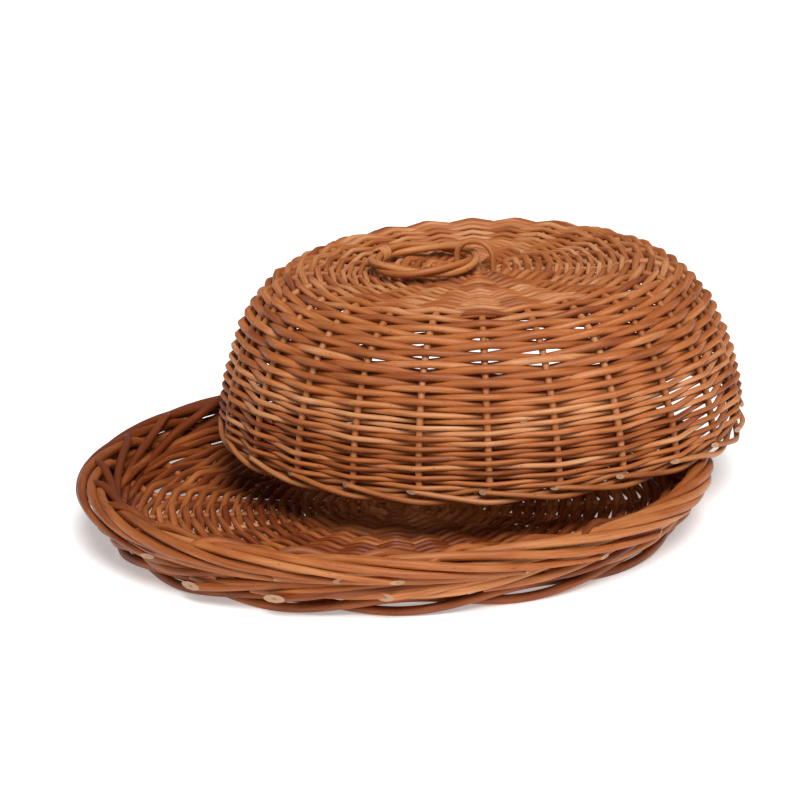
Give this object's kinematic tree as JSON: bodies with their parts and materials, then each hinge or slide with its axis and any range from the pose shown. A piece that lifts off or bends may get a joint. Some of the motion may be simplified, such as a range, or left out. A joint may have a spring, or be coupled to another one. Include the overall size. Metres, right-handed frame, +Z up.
{
  "type": "wicker bread box",
  "caption": "Round wicker bread box: a shallow tray with a rolled rod border and a loose domed lid with a ring handle that swings on a rod staple.",
  "frame": {"origin": "on the table, under the middle of the box round the tray and the lid as it rests askew", "axes": "+Z up, +X to the right and +Y away from the viewer of the picture"},
  "size_m": [0.4264, 0.4376, 0.1628],
  "materials": {
    "willow_weavers": "satin",
    "willow_stakes": "satin",
    "willow_border": "satin",
    "willow_handle": "satin"
  },
  "bodies": {
    "tray": {"tray_floor_centre": "willow_weavers", "tray_floor_cross": "willow_stakes", "tray_floor_weave": "willow_weavers", "tray_wall_weave": "willow_weavers", "tray_foot_rod_a": "willow_border", "tray_foot_rod_b": "willow_border", "tray_stake_01": "willow_border", "tray_stake_02": "willow_border", "tray_stake_03": "willow_border", "tray_stake_04": "willow_border", "tray_stake_05": "willow_border", "tray_stake_06": "willow_border", "tray_stake_07": "willow_border", "tray_stake_08": "willow_border", "tray_stake_09": "willow_border", "tray_stake_10": "willow_border", "tray_stake_11": "willow_border", "tray_stake_12": "willow_border", "tray_stake_13": "willow_border", "tray_stake_14": "willow_border", "tray_stake_15": "willow_border", "tray_stake_16": "willow_border", "tray_stake_17": "willow_border", "tray_stake_18": "willow_border", "tray_stake_19": "willow_border", "tray_stake_20": "willow_border", "tray_stake_21": "willow_border", "tray_stake_22": "willow_border", "tray_stake_23": "willow_border", "tray_stake_24": "willow_border"},
    "lid": {"lid_crown_centre": "willow_weavers", "lid_crown_cross": "willow_stakes", "lid_crown_weave": "willow_weavers", "lid_wall_weave": "willow_weavers", "handle_staple": "willow_handle", "lid_stake_01": "willow_stakes", "lid_stake_02": "willow_stakes", "lid_stake_03": "willow_stakes", "lid_stake_04": "willow_stakes", "lid_stake_05": "willow_stakes", "lid_stake_06": "willow_stakes", "lid_stake_07": "willow_stakes", "lid_stake_08": "willow_stakes", "lid_stake_09": "willow_stakes", "lid_stake_10": "willow_stakes", "lid_stake_11": "willow_stakes", "lid_stake_12": "willow_stakes", "lid_stake_13": "willow_stakes", "lid_stake_14": "willow_stakes", "lid_stake_15": "willow_stakes", "lid_stake_16": "willow_stakes", "lid_stake_17": "willow_stakes", "lid_stake_18": "willow_stakes", "lid_stake_19": "willow_stakes", "lid_stake_20": "willow_stakes", "lid_stake_21": "willow_stakes", "lid_stake_22": "willow_stakes", "lid_stake_23": "willow_stakes", "lid_stake_24": "willow_stakes"},
    "ring": {"handle_ring": "willow_handle"}
  },
  "joints": [
    {"name": "lid_lift", "type": "slide", "parent": "tray", "child": "lid", "axis": [0, 0, 1], "range_m": [0, 0.25]},
    {"name": "ring_swing", "type": "hinge", "parent": "lid", "child": "ring", "pos_m": [0.04324, 0.04865, 0.1531], "axis": [0, 1, 0.008], "range_deg": [0, 180]}
  ]
}
